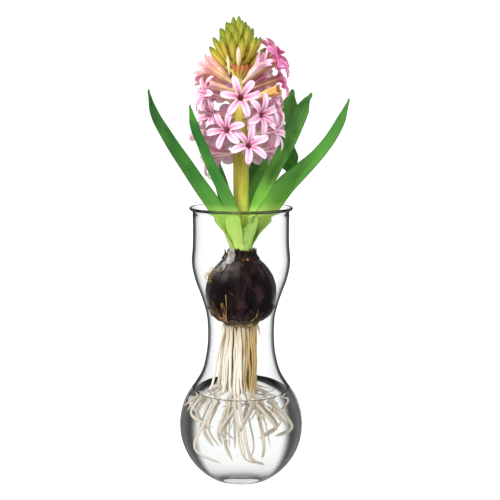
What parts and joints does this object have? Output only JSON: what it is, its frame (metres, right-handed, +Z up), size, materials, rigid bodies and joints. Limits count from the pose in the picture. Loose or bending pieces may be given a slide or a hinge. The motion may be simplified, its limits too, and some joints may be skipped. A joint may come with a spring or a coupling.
{
  "type": "hyacinth in a bulb glass",
  "caption": "Pink hyacinth in flower, growing from a dark bulb set in a waisted clear glass, with strap leaves, a spike of open florets and green buds, and pale roots in water.",
  "frame": {"origin": "middle of the glass's flat foot, on the surface it stands on", "axes": "+Z up, -Y towards the front of the flower spike, +X to its right"},
  "size_m": [0.1613, 0.1057, 0.3716],
  "materials": {
    "clear_glass": "clear, polished",
    "water": "clear liquid",
    "tunic": "papery with a dull sheen",
    "root": "wet satin",
    "stalk": "waxy",
    "leaf": "waxy satin",
    "petal": "waxy satin",
    "young_petal": "waxy satin"
  },
  "bodies": {
    "root": {"glass_vase": "clear_glass", "water": "water", "bulb": "tunic", "roots": "root", "flower_stalk": "stalk", "leaf_outer_left": "leaf", "leaf_inner_left": "leaf", "leaf_back_left": "leaf", "leaf_right": "leaf", "leaf_outer_right": "leaf", "leaf_back_right": "leaf", "leaf_back_arching": "leaf", "floret_01": "petal", "floret_02": "petal", "floret_03": "petal", "floret_04": "petal", "floret_05": "petal", "floret_06": "petal", "floret_07": "petal", "floret_08": "petal", "floret_09": "petal", "floret_10": "petal", "floret_11": "petal", "floret_12": "petal", "floret_13": "petal", "floret_14": "petal", "floret_15": "petal", "floret_16": "petal", "floret_17": "petal", "floret_18": "petal", "floret_19": "petal", "floret_20": "young_petal", "floret_21": "petal", "floret_22": "petal", "floret_23": "petal", "floret_24": "petal", "floret_25": "petal", "floret_26": "petal", "floret_27": "petal", "floret_28": "young_petal", "floret_29": "petal", "floret_30": "petal", "floret_31": "petal", "floret_32": "petal", "floret_33": "petal", "floret_34": "petal"}
  },
  "joints": []
}
